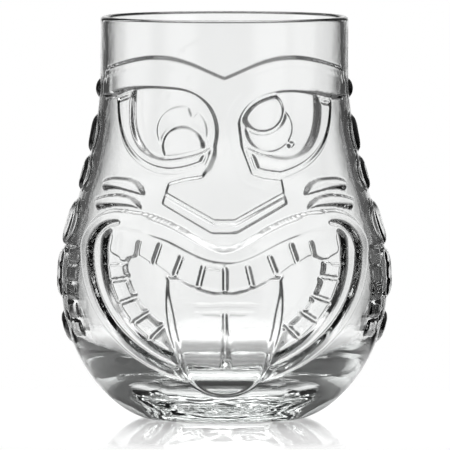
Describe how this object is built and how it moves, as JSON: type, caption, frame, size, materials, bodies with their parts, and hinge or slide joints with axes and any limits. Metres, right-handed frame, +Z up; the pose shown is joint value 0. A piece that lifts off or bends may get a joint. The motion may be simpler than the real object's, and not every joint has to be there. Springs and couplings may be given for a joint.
{
  "type": "tiki mug",
  "caption": "Clear pressed-glass tumbler, pear-shaped and handleless, with a grinning tiki mask moulded in relief on its front.",
  "frame": {"origin": "centre of the foot, on the surface that the tumbler stands on", "axes": "+Z up along the cup's axis to the rim, -Y out of the mask's face, +X to the right of someone facing the mask"},
  "size_m": [0.1004, 0.1002, 0.12],
  "materials": {
    "clear_glass": "colourless fire-polished soda-lime glass, glossy"
  },
  "bodies": {
    "root": {"upper_wall": "clear_glass", "belly_wall": "clear_glass", "heavy_base": "clear_glass", "brow_and_nose": "clear_glass", "nose_ledge": "clear_glass", "left_eye_band": "clear_glass", "right_eye_band": "clear_glass", "left_pupil": "clear_glass", "right_pupil": "clear_glass", "left_iris": "clear_glass", "right_iris": "clear_glass", "left_cheek_folds": "clear_glass", "right_cheek_folds": "clear_glass", "upper_lip": "clear_glass", "outer_lip": "clear_glass", "inner_lip": "clear_glass", "upper_teeth": "clear_glass", "fangs": "clear_glass", "lower_teeth": "clear_glass", "tongue": "clear_glass", "left_side_ornaments": "clear_glass", "right_side_ornaments": "clear_glass", "left_side_tiles": "clear_glass", "right_side_tiles": "clear_glass", "back_ornament": "clear_glass"}
  },
  "joints": []
}
